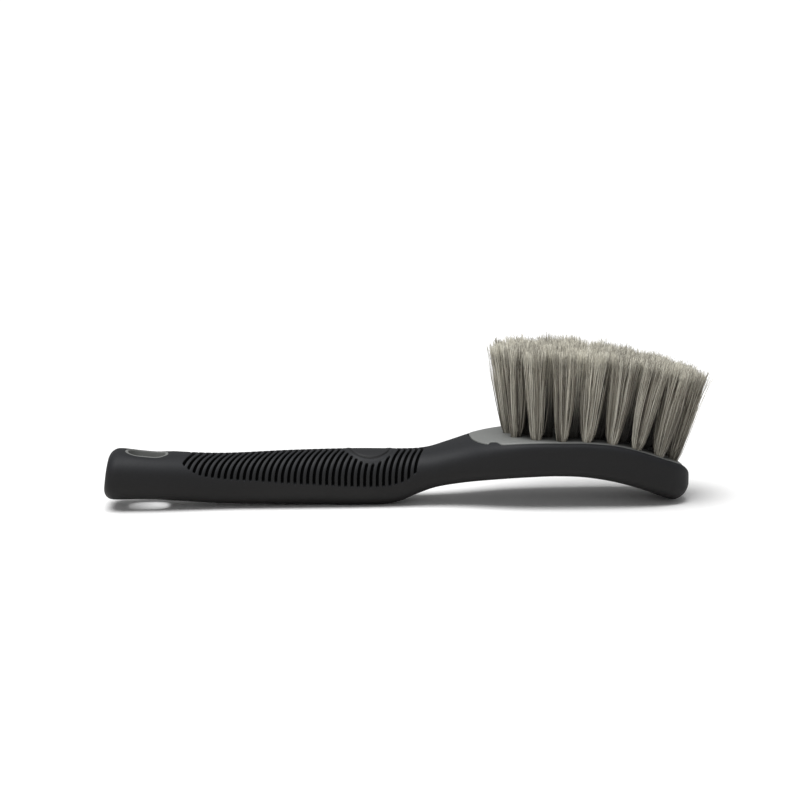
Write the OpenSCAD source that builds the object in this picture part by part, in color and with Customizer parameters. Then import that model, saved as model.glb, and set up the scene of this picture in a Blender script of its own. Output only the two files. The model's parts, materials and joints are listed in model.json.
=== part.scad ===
// Short-handled wheel brush: a hard core, a soft ribbed skin moulded over it and stapled bristle tufts.
// +X runs from the butt of the handle to the end of the head, and the bristles point up along +Z.
// Distances called s are measured along X from the butt.

/* [Handle] */
// Width of the grip
grip_w = 30; // [28:0.5:33]
// Thickness of the soft skin
skin_t = 2.4; // [1.8:0.1:2.8]
// Lean of the butt face from upright, in degrees
butt_lean = 8; // [0:1:12]
// Radius of the edge round the butt face
butt_r = 5; // [3:0.5:6]

/* [Grip ribs] */
// Number of grooves
rib_count = 38; // [20:1:38]
// Distance from one groove to the next
rib_pitch = 3; // [3:0.1:3.2]
// Width of a groove at the surface
groove_w = 1.3; // [0.8:0.1:1.6]
// Depth of a groove
groove_d = 1; // [0.5:0.1:1.3]
// How far a groove curves towards the head on its way to the top
groove_sweep = 7.7; // [0:0.1:8]
// Length of the plain oval pad on top of the grip
pad_len = 23; // [16:1:26]
// Width of the oval pad
pad_w = 24; // [16:1:26]

/* [Hang hole] */
// Clear length of the hole
hole_len = 17.4; // [12:0.2:18]
// Clear width of the hole
hole_w = 14; // [10:0.5:15]
// Wall of the hard ring that lines the hole, where it meets the surface
hole_lip = 1.5; // [1.2:0.1:2]

/* [Head] */
// Widest width of the head
head_w = 58; // [56:1:62]
// Half width of the hard face inside the skin
face_b = 26.4; // [25.5:0.1:26.5]
// How far the hard face stands proud of the skin
face_proud = 0.2; // [0.1:0.1:0.8]

/* [Bristles] */
// Diameter of a drilled hole
tuft_d = 5; // [4:0.1:5.2]
// Depth of a drilled hole
tuft_depth = 11; // [9:0.5:11]
// Height of the trimmed bristle tips above the table, where they are highest
trim_top = 75.7; // [68:0.1:80]
// Radius of the trimmed tips, seen from the side
trim_r = 260; // [220:1:320]
// Diameter of a tuft at its tip
tuft_tip_d = 8.4; // [6:0.1:8.4]
// Distance from tuft to tuft along a loop
tuft_pitch = 12.2; // [12:0.1:14]
// Distance from one loop of tufts to the next
loop_pitch = 7.6; // [7.6:0.1:8]
// How much each tuft leans more than one a millimetre nearer the handle, in degrees
fan = 0.27; // [0.2:0.01:0.3]
// Sideways lean of the outermost tufts, in degrees
side_lean = 5; // [3:0.5:7]

/* [Hidden] */
// Distance from the butt of the handle to the end of the head, and to the frame's origin
body_len = 281;
origin_s = 145;

// Height of the top of the body, as [s, z]
top_line = [[0, 27.7], [12, 27.5], [22, 26.6], [32, 25.9], [48, 25], [62, 24.9], [90, 25.8], [120, 26.1],
            [148, 25.6], [156, 26.3], [164, 28.4], [176, 31.5], [184, 32.5], [194, 32.9], [204, 33],
            [216, 32.75], [228, 32.45], [242, 30.95], [254, 27.85], [264, 24.15], [274, 19.8], [281, 16]];
// Height of the underside, as [s, z]
low_line = [[0, 4.3], [16, 3.8], [34, 3], [54, 1.4], [80, 0.6], [104, 0], [114, -0.5], [133, -0.5],
            [141, 1], [150, 4.8], [158, 7.6], [170, 9.8], [186, 12], [200, 13.4], [214, 14], [228, 13.2],
            [243, 10.4], [256, 6.4], [264, 3.2], [269, 1.2], [273, 0], [277, 1.1], [281, 2.7]];
// Half width of the body, as a share of half the grip width, as [s, share]
wide_line = [[0, 1.06], [20, 1.07], [40, 0.97], [60, 0.9], [85, 0.96], [120, 1.02], [150, 1.02],
             [160, 1.1], [172, 1.31], [182, 1.56], [190, 1.74], [200, 1.88]];
// Squareness of the upper and lower halves of the section, as [s, power]
top_power = [[0, 2.5], [140, 2.3], [165, 2.6], [178, 3.2], [188, 4.6], [200, 7], [215, 8.5], [281, 8.5]];
low_power = [[0, 2.5], [140, 2.3], [170, 2.6], [205, 3.2], [250, 3], [270, 2.4], [281, 2.4]];
// Height of the widest level as a share of the section's height, as [s, share]
waist_share = [[0, 0.5], [150, 0.5], [190, 0.48], [281, 0.46]];

// Outlines of the head and of its hard face in plan, two ovals about face_c: half lengths and squareness
face_c = body_len - 54.4;
head_a = 55.9;
head_power = 2.8;
face_a = 51.6;
face_power = 3;
// Rounding of the far end at its top, bottom and side edges
end_r_top = 3.5;
end_r_low = 6.5;
end_r_side = 4;

// Places of the first groove and of the middle of the oval pad
rib_s0 = 36;
pad_s = 126.4;
// Share of the full sweep that a groove has, as [s, share], and the rounding of its point on top
sweep_line = [[22, 0], [38, 1], [110, 1], [150, 0.66], [172, 0]];
sweep_round = 0.12;
// Angle over which a groove fades out at its lower end, and how abruptly it stops at the pad
rib_fade = 9;
pad_fade = 5;
// Angle round the section at which a groove ends low down, as [s, angle]
rib_low_line = [[36, 50], [38, 36], [42, 20], [48, 10], [70, 2], [100, -5], [124, -9], [136, -7],
                [144, -1], [148, 8]];

function slope(p, i) = (i == 0 || i == len(p) - 1) ? 0
    : (p[i + 1][1] - p[i - 1][1]) / (p[i + 1][0] - p[i - 1][0]);
function seg(p, x, i = 0) = (i >= len(p) - 2 || x < p[i + 1][0]) ? i : seg(p, x, i + 1);
// Smooth curve through a list of points
function curve(p, x) =
    let (q = min(max(x, p[0][0]), p[len(p) - 1][0]), i = seg(p, q),
         h = p[i + 1][0] - p[i][0], t = (q - p[i][0]) / h)
    p[i][1] * (2 * t^3 - 3 * t^2 + 1) + slope(p, i) * h * (t^3 - 2 * t^2 + t)
    + p[i + 1][1] * (3 * t^2 - 2 * t^3) + slope(p, i + 1) * h * (t^3 - t^2);
function ease(t) = let (q = min(max(t, 0), 1)) q * q * (3 - 2 * q);
// How far a rounded edge of radius r draws in at distance d from the end
function inset(d, r) = d >= r ? 0 : r - sqrt(max(r * r - (r - d)^2, 0));

function oval(s, a, b, n) = let (q = abs(s - face_c) / a) q >= 1 ? 0 : b * (1 - q^n)^(1 / n);

function top_z(s) = curve(top_line, s);
function low_z(s) = curve(low_line, s);
function half_w(s) = let (k = ease((s - 178) / 24), hand = curve(wide_line, s) * grip_w / 2)
    k <= 0 ? hand : (1 - k) * hand + k * oval(s, head_a, head_w / 2, head_power);
function mid_z(s) = low_z(s) + curve(waist_share, s) * (top_z(s) - low_z(s));

// One point of the section at s. t is the angle round it: -90 bottom, 0 side, 90 top.
// d draws the surface in, and grooves are cut where cut is above 0.
function skin_pt(s, t, d = 0, cut = 0) =
    let (up = t >= 0,
         butt = inset(s - d, butt_r - d),
         w = side_w(s, d),
         m = mid_z(s),
         h = up ? top_z(s) - m - butt - end_inset(s, d, end_r_top) - d
                : m - low_z(s) - butt - end_inset(s, d, end_r_low) - d,
         n = up ? curve(top_power, s) : curve(low_power, s),
         c = abs(cos(t))^(2 / n), v = abs(sin(t))^(2 / n),
         g = cut * groove_mask(s, t),
         y = w * c - g * cos(t), z = m + (up ? 1 : -1) * (h * v - g * abs(sin(t))),
         lean = tan(butt_lean) * (1 - ease(s / 26)) * (z - low_z(s) - 6),
         x = s + lean - origin_s)
    [x, y, d == 0 ? max(z, 0) : z];

function end_inset(s, d, r) = inset(body_len - d - s, r - d);
// The skin is thinner down the sides of the head
function side_w(s, d) = half_w(s) - inset(s - d, butt_r - d) - end_inset(s, d, end_r_side)
    - d * (1 - 0.3 * ease((s - 150) / 40));

function groove_mask(s, t) =
    let (low = curve(rib_low_line, s),
         q = norm([(s - pad_s) / (pad_len / 2), skin_y(s, t) / (pad_w / 2)]))
    groove_d * ease((t - low) / rib_fade) * ease((q - 1) * pad_fade);
function skin_y(s, t) = half_w(s) * cos(t);

// Grooves curve towards the head as they climb, so a ring of points leans the same way
function swept(s, t) = s + (t <= 0 ? 0 : groove_sweep * curve(sweep_line, s)
    * (sqrt(1 + sweep_round^2) - sqrt(cos(t)^2 + sweep_round^2)));

// Angles round half a section, from the bottom up to the angle top
// The first step spans the flat of the belly.
low_angles = [-90, -74, -50, -25];
up_steps = 9;
function angles(top) = concat(low_angles, [for (i = [0 : up_steps]) top * i / up_steps]);
// Angle at which the section reaches half width y
function angle_at(s, y, d) = y <= 0 ? 90 : acos(min(1, y / side_w(s, d))^(curve(top_power, s) / 2));

// A ring's points run from the top down the -Y side, under the bottom and up the +Y side.
function ring(s, d, cut, top = 90) =
    let (a = angles(top), n = len(a), p = [for (t = a) skin_pt(swept(s, t), t, d, cut)])
    concat([for (i = [n - 1 : -1 : 0]) [p[i].x, -p[i].y, p[i].z]], [for (i = [1 : n - 1]) p[i]]);
ring_n = 2 * (len(low_angles) + up_steps) + 1;

// Half width of the opening for the hard face
function face_y(s) = oval(s, face_a, face_b, face_power);

// Places of the rings along the handle, as [s, whether a groove is cut], then round the face and at the end
groove_rings = [for (i = [0 : rib_count - 1]) for (e = [-0.5, 0, 0.5])
                [rib_s0 + i * rib_pitch + e * groove_w, e == 0 ? 1 : 0]];
skin_rings = concat([for (s = [0, 0.4, 1.4, 3, 5, 10, 17, 24, 31]) [s, 0]], groove_rings,
                    [for (s = [153, 158, 163, 168, 172]) [s, 0]]);
bar_rings = [for (s = [skin_t, 2.8, 5, 12, 24, 36, 50, 68, 90, 115, 140, 152, 160, 167, 172]) [s, 0]];
face_steps = 26;
face_rings = [for (i = [0 : face_steps]) face_c - face_a * cos(180 * i / face_steps)];
skin_end = [279, 280, 280.7, body_len];
bar_end = [body_len - skin_t - 0.2, body_len - skin_t];

// All the rings of one surface. open makes room for the hard face.
function rings(hand, end, d, open) = concat(
    [for (r = hand) ring(r[0], d, r[1])],
    [for (s = face_rings) ring(s, d, 0, open ? angle_at(s, face_y(s), d) : 90)],
    [for (s = end) ring(s, d, 0)]);
function flat(rows) = [for (r = rows) for (p = r) p];

// A point's number, where a closed ring's last point is its first. gap lists the open rings.
function num(i, k, gap, base = 0) = let (open = i > gap[0] && i < gap[1])
    base + i * ring_n + (k == ring_n - 1 && !open ? 0 : k);
// Triangles between rings, facing out, or in where turn is true
function walls(n, gap, base = 0, turn = false) = [for (i = [0 : n - 2]) for (k = [0 : ring_n - 2])
    let (a = num(i, k, gap, base), b = num(i, k + 1, gap, base),
         c = num(i + 1, k + 1, gap, base), d = num(i + 1, k, gap, base))
    each (turn ? [[a, b, c], [a, c, d]] : [[a, c, b], [a, d, c]])];
function cap(i, gap, turn, base = 0) =
    [for (k = [0 : ring_n - 2]) num(i, turn ? ring_n - 2 - k : k, gap, base)];

closed = [-1, -1];

// The hard bar inside the skin, with no openings
module bar() {
    rows = rings(bar_rings, bar_end, skin_t, false);
    n = len(rows);
    polyhedron(flat(rows), concat(walls(n, closed), [cap(0, closed, false), cap(n - 1, closed, true)]));
}

// The drilled face, from its crown down into the bar
face_up = 5;
module face_block() {
    own = [for (i = [1 : face_steps - 1]) face_rings[i]];
    rows = [for (s = own) let (a = angle_at(s, face_y(s), 0), low = mid_z(s) + 1,
        half = [for (j = [0 : face_up]) skin_pt(s, a + (90 - a) * j / face_up) + [0, 0, face_proud]])
        concat([[half[0].x, -half[0].y, low]], [for (p = half) [p.x, -p.y, p.z]],
               [for (j = [face_up - 1 : -1 : 0]) half[j]], [[half[0].x, half[0].y, low]])];
    m = len(rows[0]);
    n = len(rows);
    faces = [for (i = [0 : n - 2]) for (k = [0 : m - 1])
        let (a = i * m + k, b = i * m + (k + 1) % m, c = b + m, d = a + m) each [[a, b, c], [a, c, d]]];
    ends = [[for (k = [m - 1 : -1 : 0]) k], [for (k = [0 : m - 1]) (n - 1) * m + k]];
    polyhedron(flat(rows), concat(faces, ends));
}

// The skin, as one shell between its outer and inner surfaces
module shell() {
    outer = rings(skin_rings, skin_end, 0, true);
    inner = rings(bar_rings, bar_end, skin_t, true);
    base = len(outer) * ring_n;
    out_gap = [len(skin_rings), len(skin_rings) + face_steps];
    in_gap = [len(bar_rings), len(bar_rings) + face_steps];
    edge = [for (i = [0 : face_steps - 1]) for (k = [0, ring_n - 1])
        let (a = num(out_gap[0] + i, k, out_gap), b = num(out_gap[0] + i + 1, k, out_gap),
             c = num(in_gap[0] + i + 1, k, in_gap, base), d = num(in_gap[0] + i, k, in_gap, base))
        each (k == 0 ? [[a, c, b], [a, d, c]] : [[a, b, c], [a, c, d]])];
    polyhedron(concat(flat(outer), flat(inner)),
        concat(walls(len(outer), out_gap), [cap(0, out_gap, false), cap(len(outer) - 1, out_gap, true)],
               walls(len(inner), in_gap, base, true),
               [cap(0, in_gap, true, base), cap(len(inner) - 1, in_gap, false, base)], edge));
}

// Hang hole
hole_s = 20.1;
hole_r = 5.5;
module rounded(l, w, r) {
    square([l - 2 * r, w], center = true);
    square([l, w - 2 * r], center = true);
    for (x = [-1, 1]) for (y = [-1, 1])
        translate([x * (l / 2 - r), y * (w / 2 - r)]) circle(r, $fn = 2 * round_steps);
}
hole_low = -10;
hole_tall = 50;
module hole_prism(grow) {
    translate([hole_s - origin_s, 0, hole_low])
        linear_extrude(hole_tall) rounded(hole_len + 2 * grow, hole_w + 2 * grow, hole_r + grow);
}
// A short length of the body round the hole, drawn in a little
ring_sink = 0.25;
module butt_piece() {
    rows = [for (s = [4 : 4 : 36]) ring(s, ring_sink, 0)];
    n = len(rows);
    polyhedron(flat(rows), concat(walls(n, closed), [cap(0, closed, false), cap(n - 1, closed, true)]));
}

// Tufts stand in loops that follow the outline of the face, with a short row along the middle.
tuft_c = face_c + 7.3;
tuft_a = 40;
tuft_b = face_b - 3;
loops = 3;
loop_samples = 120;
function loop_pt(j, t) = let (a = tuft_a - j * loop_pitch, b = tuft_b - j * loop_pitch, e = 2 / face_power)
    [tuft_c + a * sign(cos(t)) * abs(cos(t))^e, b * sign(sin(t)) * abs(sin(t))^e];
function spaced(j) =
    let (p = [for (i = [0 : loop_samples]) loop_pt(j, 360 * i / loop_samples)],
         step = [for (i = [0 : loop_samples]) i == 0 ? 0 : norm(p[i] - p[i - 1])],
         along = [for (i = 0, a = 0; i <= loop_samples; i = i + 1, a = a + (i > loop_samples ? 0 : step[i]))
                  a],
         total = along[loop_samples], n = round(total / tuft_pitch))
    [for (k = [0 : n - 1]) let (q = total * (k + (j % 2) / 2) / n)
        [for (c = [0, 1]) lookup(q, [for (i = [0 : loop_samples]) [along[i], p[i][c]]])]];
tufts = concat([for (j = [0 : loops - 1]) each spaced(j)],
               [for (i = [-1 : 1]) [tuft_c + i * tuft_pitch, 0]]);
tuft_n = len(tufts);

// Height of the hard face at a place
function face_z(s, y) = skin_pt(s, angle_at(s, abs(y), 0)).z + face_proud;
// Where along the head the tufts stand upright, and the centre of the trimmed tips' arc
upright_s = face_c - 13;
trim_s = face_c - 24;
trim_z = trim_top - trim_r;
// Leans of a tuft at a place, along X and sideways
function lean_x(s) = fan * (s - upright_s);
function lean_y(y) = side_lean * y / tuft_b;
// Free length that brings a tuft's tip to the trimmed arc
function free_len(s, y) =
    let (z = face_z(s, y) - trim_z, x = s - trim_s, along = x * sin(lean_x(s)) + z * cos(lean_x(s)))
    (sqrt(along^2 + trim_r^2 - x^2 - z^2) - along) / cos(lean_y(y));

module at_tuft(p) {
    translate([p[0] - origin_s, p[1], face_z(p[0], p[1])])
        rotate([-lean_y(p[1]), lean_x(p[0]), 0]) children();
}
// Clearance round a tuft, and how far the drill's cut runs above the face
tuft_fit = 0.05;
drill_over = 3;
round_steps = 32;
// A staple's thickness and height, and its height above the bottom of the hole
wire_t = 0.6;
wire_h = 1.6;
wire_up = 1.8;

module core() {
    color("#8a8c8a") difference() {
        union() {
            bar();
            face_block();
            intersection() {
                hole_prism(hole_lip);
                butt_piece();
            }
        }
        hole_prism(0);
        for (p = tufts) at_tuft(p) translate([0, 0, -tuft_depth])
            cylinder(tuft_depth + drill_over, d = tuft_d, $fn = round_steps);
    }
}

module grip() {
    color("#2a2a2c") difference() {
        shell();
        hole_prism(hole_lip);
    }
}

// One flat wire staple for each hole
module anchors() {
    color("#b5a76c") for (p = tufts) at_tuft(p)
        translate([-wire_t / 2, -tuft_d / 2 + 2 * tuft_fit, wire_up - tuft_depth])
            cube([wire_t, tuft_d - 4 * tuft_fit, wire_h]);
}

// A tuft fills its hole round the staple and flares above the face.
module tuft(p) {
    r = tuft_d / 2 - tuft_fit;
    color("#a59f8e") at_tuft(p) difference() {
        union() {
            translate([0, 0, tuft_fit - tuft_depth]) cylinder(tuft_depth, r = r, $fn = round_steps);
            cylinder(free_len(p[0], p[1]), r1 = r, r2 = tuft_tip_d / 2, $fn = round_steps);
        }
        translate([-wire_t / 2 - tuft_fit, -tuft_d, wire_up - tuft_depth - tuft_fit])
            cube([wire_t + 2 * tuft_fit, 2 * tuft_d, wire_h + 2 * tuft_fit]);
    }
}

function tuft_name(i) = str("tuft_", i < 10 ? "0" : "", i);

core();
grip();
anchors();
for (i = [1 : tuft_n]) tuft(tufts[i - 1]);
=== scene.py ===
# %% [markdown]
# # A wheel brush
# A short brush for washing car wheels has three moulded or fitted things in it. A hard grey core carries
# the bristles, a soft black skin is moulded over the core, and tufts of bristle are stapled into drilled
# holes. Nothing on it moves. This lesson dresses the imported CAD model: each CAD solid keeps its place and
# size, and a detailed piece stands for it. All lengths in the tables are millimetres, and MM turns them
# into Blender's metres at the moment a mesh is made.

# %% Load the frame
import json
import math

import bmesh
import bpy
import numpy as np
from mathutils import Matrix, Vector

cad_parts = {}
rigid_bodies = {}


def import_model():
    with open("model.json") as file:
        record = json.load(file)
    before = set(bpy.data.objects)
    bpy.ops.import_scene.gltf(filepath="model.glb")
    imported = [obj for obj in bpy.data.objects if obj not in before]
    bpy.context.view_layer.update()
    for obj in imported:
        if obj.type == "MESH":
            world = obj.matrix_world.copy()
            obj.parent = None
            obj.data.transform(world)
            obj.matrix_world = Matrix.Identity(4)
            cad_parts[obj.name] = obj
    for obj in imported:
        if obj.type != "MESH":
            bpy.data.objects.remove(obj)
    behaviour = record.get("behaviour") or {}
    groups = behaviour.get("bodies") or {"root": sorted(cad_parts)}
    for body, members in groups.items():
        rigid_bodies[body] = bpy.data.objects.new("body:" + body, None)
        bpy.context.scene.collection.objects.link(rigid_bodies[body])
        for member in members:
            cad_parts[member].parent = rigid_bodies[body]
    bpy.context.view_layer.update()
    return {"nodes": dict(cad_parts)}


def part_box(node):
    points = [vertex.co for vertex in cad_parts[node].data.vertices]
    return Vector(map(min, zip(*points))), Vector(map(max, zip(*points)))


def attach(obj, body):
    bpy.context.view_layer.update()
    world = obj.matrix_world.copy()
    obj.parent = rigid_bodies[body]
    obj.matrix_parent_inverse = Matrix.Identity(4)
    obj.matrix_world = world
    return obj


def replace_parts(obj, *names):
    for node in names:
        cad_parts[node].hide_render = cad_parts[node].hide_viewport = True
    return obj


for old in list(bpy.data.objects):
    bpy.data.objects.remove(old)
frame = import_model()
MM = 0.001
rng = np.random.default_rng(20)

# %% [markdown]
# ## The camera
# A product shot of a long object is made with a long lens from far away, so that the near end doesn't
# look bigger than the far end. The camera stands about 0.9 m off, a little above the brush, and slightly
# to the handle's side.

# %% Camera
AIM = Vector((-3.85, 0, 49.6)) * MM
DISTANCE = 900 * MM
YAW, ELEVATION = math.radians(5), math.radians(9)
WIDTH_AT_AIM = 384 * MM

back = Vector((-math.sin(YAW) * math.cos(ELEVATION), -math.cos(YAW) * math.cos(ELEVATION),
               math.sin(ELEVATION)))
lens = bpy.data.cameras.new("studio_lens")
lens.sensor_width = 36
lens.lens = lens.sensor_width * DISTANCE / WIDTH_AT_AIM
camera = bpy.data.objects.new("studio_camera", lens)
camera.location = AIM + back * DISTANCE
camera.rotation_euler = back.to_track_quat("Z", "Y").to_euler()
bpy.context.scene.collection.objects.link(camera)
bpy.context.scene.camera = camera
print("lens", round(lens.lens, 1), "mm")

# %% [markdown]
# ## The brush's profile
# The handle and head are one flowing form, and a loft makes it: a section is placed every so often along
# the brush, and its height, width and squareness come from smooth curves through a few listed stations.
# The same stations shape the CAD model, so the two agree. s is the distance from the butt of the handle.

# %% Stations along the brush
BODY_LEN = 281
ORIGIN_S = 145
TOP_LINE = [[0, 27.7], [12, 27.5], [22, 26.6], [32, 25.9], [48, 25], [62, 24.9], [90, 25.8], [120, 26.1],
            [148, 25.6], [156, 26.3], [164, 28.4], [176, 31.5], [184, 32.5], [194, 32.9], [204, 33],
            [216, 32.75], [228, 32.45], [242, 30.95], [254, 27.85], [264, 24.15], [274, 19.8], [281, 16]]
LOW_LINE = [[0, 4.3], [16, 3.8], [34, 3], [54, 1.4], [80, 0.6], [104, 0], [114, -0.5], [133, -0.5],
            [141, 1], [150, 4.8], [158, 7.6], [170, 9.8], [186, 12], [200, 13.4], [214, 14], [228, 13.2],
            [243, 10.4], [256, 6.4], [264, 3.2], [269, 1.2], [273, 0], [277, 1.1], [281, 2.7]]
GRIP_W = 30
WIDE_LINE = [[0, 1.06], [20, 1.07], [40, 0.97], [60, 0.9], [85, 0.96], [120, 1.02], [150, 1.02],
             [160, 1.1], [172, 1.31], [182, 1.56], [190, 1.74], [200, 1.88]]
TOP_POWER = [[0, 2.5], [140, 2.3], [165, 2.6], [178, 3.2], [188, 4.6], [200, 7], [215, 8.5], [281, 8.5]]
LOW_POWER = [[0, 2.5], [140, 2.3], [170, 2.6], [205, 3.2], [250, 3], [270, 2.4], [281, 2.4]]
WAIST = [[0, 0.5], [150, 0.5], [190, 0.48], [281, 0.46]]

HEAD_W = 58
FACE_C = BODY_LEN - 54.4
HEAD_A, HEAD_POWER = 55.9, 2.8
FACE_A, FACE_B, FACE_POWER = 51.6, 26.4, 3
END_TOP, END_LOW, END_SIDE = 3.5, 6.5, 4
BUTT_R, BUTT_LEAN = 5, math.radians(8)
SKIN_T = 2.4
HEAD_FROM, HEAD_BLEND = 178, 24
THIN_FROM, THIN_OVER, THIN_SHARE = 150, 40, 0.3
LEAN_LEN, LEAN_UP = 26, 6


def curve(stations, x):
    """The smooth curve through the stations, at x."""
    px, py = np.array(stations, float).T
    slope = np.zeros_like(py)
    slope[1:-1] = (py[2:] - py[:-2]) / (px[2:] - px[:-2])
    q = np.clip(x, px[0], px[-1])
    i = np.clip(np.searchsorted(px, q, side="right") - 1, 0, len(px) - 2)
    h = px[i + 1] - px[i]
    t = (q - px[i]) / h
    return (py[i] * (2 * t**3 - 3 * t**2 + 1) + slope[i] * h * (t**3 - 2 * t**2 + t)
            + py[i + 1] * (3 * t**2 - 2 * t**3) + slope[i + 1] * h * (t**3 - t**2))


def ease(t):
    """0 to 1, starting and stopping softly."""
    q = np.clip(t, 0, 1)
    return q * q * (3 - 2 * q)


def inset(d, r):
    """How far a rounded edge of radius r draws in at distance d from the end."""
    return np.where(d >= r, 0, r - np.sqrt(np.maximum(r * r - (r - d) ** 2, 0)))


def oval(s, a, b, n):
    """Half width of an oval about the middle of the head."""
    return b * np.maximum(1 - (np.abs(s - FACE_C) / a) ** n, 0) ** (1 / n)


print("height of the grip", round(float(curve(TOP_LINE, 100) - curve(LOW_LINE, 100)), 1), "mm")

# %% [markdown]
# ## One section
# A section is a squared-off ellipse, the kind that a designer gets between a circle and a rounded
# rectangle. Angle t goes round it: -90 is the bottom, 0 the widest level and 90 the top. The inset d makes
# the inner surface of the skin. Both ends of the brush are rounded by drawing the section in, and the butt
# leans back a little.

# %% Points of a section
def half_width(s, d):
    hand = curve(WIDE_LINE, s) * GRIP_W / 2
    k = ease((s - HEAD_FROM) / HEAD_BLEND)
    w = (1 - k) * hand + k * oval(s, HEAD_A, HEAD_W / 2, HEAD_POWER)
    w = w - inset(s - d, BUTT_R - d) - inset(BODY_LEN - d - s, END_SIDE - d)
    return w - d * (1 - THIN_SHARE * ease((s - THIN_FROM) / THIN_OVER))


def middle(s):
    low = curve(LOW_LINE, s)
    return low + curve(WAIST, s) * (curve(TOP_LINE, s) - low)


def height(s, up, d):
    end = np.where(up, inset(BODY_LEN - d - s, END_TOP - d), inset(BODY_LEN - d - s, END_LOW - d))
    full = np.where(up, curve(TOP_LINE, s) - middle(s), middle(s) - curve(LOW_LINE, s))
    return full - inset(s - d, BUTT_R - d) - end - d


def lean(s, z):
    return math.tan(BUTT_LEAN) * (1 - ease(s / LEAN_LEN)) * (z - curve(LOW_LINE, s) - LEAN_UP)


def section(s, t, d=0.0, cut=0.0):
    """Points (x, y, z) of the section at s and angle t in degrees, drawn in by d and cut inwards by cut."""
    up = t >= 0
    a = np.radians(t)
    n = np.where(up, curve(TOP_POWER, s), curve(LOW_POWER, s))
    c = np.where(np.abs(t) > 89.999, 0, np.abs(np.cos(a))) ** (2 / n)
    v = np.abs(np.sin(a)) ** (2 / n)
    y = half_width(s, d) * c - cut * np.cos(a)
    z = middle(s) + np.where(up, 1, -1) * (height(s, up, d) * v - cut * np.abs(np.sin(a)))
    x = s + lean(s, z) - ORIGIN_S
    return x, y, np.maximum(z, 0) if d == 0 else z


def angle_at(s, y, d=0.0):
    """The angle at which the upper half of the section is y wide."""
    q = np.clip(y / half_width(s, d), 0, 1) ** (curve(TOP_POWER, s) / 2)
    return np.where(y <= 0, 90, np.degrees(np.arccos(q)))


def surface_z(x, y, top=True):
    """Height of the body's upper or under side above a place (x, y)."""
    s = x + ORIGIN_S
    for _ in range(5):
        n = curve(TOP_POWER if top else LOW_POWER, s)
        c = np.clip(np.abs(y) / half_width(s, 0), 0, 1) ** (n / 2)
        v = np.sqrt(1 - c * c) ** (2 / n)
        z = middle(s) + (1 if top else -1) * height(s, np.full(np.shape(s), top), 0) * v
        s = x + ORIGIN_S - lean(s, z)
    return z


print("width of the head", round(float(2 * half_width(np.array(230.0), 0)), 1), "mm")

# %% [markdown]
# ## Making meshes
# Every moulded shape here is a grid of points, rings along the brush and places round each ring, so one
# helper turns grids into faces. Booleans then cut holes: Blender's Manifold solver is quick, and it is
# safe because each of these shapes is closed.

# %% Mesh helpers
def carry(mesh, key, values):
    """Gives every point of a mesh a number, which a shader can read by its name."""
    mesh.attributes.new(key, "FLOAT", "POINT").data.foreach_set("value", np.asarray(values, np.float32))


def make(name, points, faces, attributes=None):
    """A mesh object from points in millimetres."""
    mesh = bpy.data.meshes.new(name)
    mesh.from_pydata((np.asarray(points) * MM).tolist(), [], faces)
    for key, values in (attributes or {}).items():
        carry(mesh, key, values)
    obj = bpy.data.objects.new(name, mesh)
    bpy.context.scene.collection.objects.link(obj)
    return obj


def shade(obj, sharp=40):
    """Smooth shading, with the real corners kept crisp."""
    obj.data.shade_smooth()
    obj.data.set_sharp_from_angle(angle=math.radians(sharp))
    return obj


def boolean(obj, other, operation):
    """Adds or cuts with another closed object, which is used up."""
    mod = obj.modifiers.new("cut", "BOOLEAN")
    mod.operation, mod.solver, mod.object = operation, "MANIFOLD", other
    dg = bpy.context.evaluated_depsgraph_get()
    done = bpy.data.meshes.new_from_object(obj.evaluated_get(dg))
    assert len(done.vertices) != len(obj.data.vertices), "the shapes must be closed"
    obj.modifiers.clear()
    obj.data = done
    bpy.data.objects.remove(other)
    return obj


def open_edges(obj):
    bm = bmesh.new()
    bm.from_mesh(obj.data)
    count = sum(not e.is_manifold for e in bm.edges)
    bm.free()
    return count


def grid_faces(rows, columns, base=0):
    """Four-cornered faces between rings. The last column joins the first."""
    i, k = np.meshgrid(np.arange(rows - 1), np.arange(columns), indexing="ij")
    k2 = (k + 1) % columns
    quad = np.stack([i * columns + k, (i + 1) * columns + k, (i + 1) * columns + k2, i * columns + k2], -1)
    return (quad.reshape(-1, 4) + base).tolist()


print("mesh helpers ready")

# %% [markdown]
# ## The ribs
# The grip has a row of fine grooves, cut square across at the sides and swept towards the head as they
# climb. A groove is easier to loft than to cut: the rings of the loft lean the way the grooves do, several
# rings cross each groove, and the section is pushed in where a groove is. Each groove has rounded edges
# and a round end, so its depth depends on the distance from its centre line and from its end.

# %% Groove shape
RIB_COUNT, RIB_PITCH, RIB_S0 = 38, 3, 36
GROOVE_DEPTH = 1.25
GROOVE_FLOOR, GROOVE_EDGE = 0.46, 0.84
SWEEP, SWEEP_ROUND = 7.7, 0.12
SWEEP_LINE = [[22, 0], [38, 1], [110, 1], [150, 0.66], [172, 0]]
RIB_LOW = [[36, 50], [38, 36], [42, 20], [48, 10], [70, 2], [100, -5], [124, -9], [136, -7], [144, -1],
           [148, 8]]
ARC_PER_DEGREE = 0.24
PAD_S, PAD_LEN, PAD_W, PAD_RIM = 126.4, 23, 24, 0.6
LINE_AT, LINE_W, LINE_DEPTH = -2.1, 0.75, 0.45
RIM_AT, RIM_W, RIM_UP = -0.6, 1.3, 0.2


def swept(s, t):
    """Where along the brush a ring of the loft is at angle t, if it starts at s."""
    climb = math.sqrt(1 + SWEEP_ROUND**2) - np.sqrt(np.cos(np.radians(t)) ** 2 + SWEEP_ROUND**2)
    return s + np.where(t <= 0, 0, SWEEP * curve(SWEEP_LINE, s) * climb)


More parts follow.
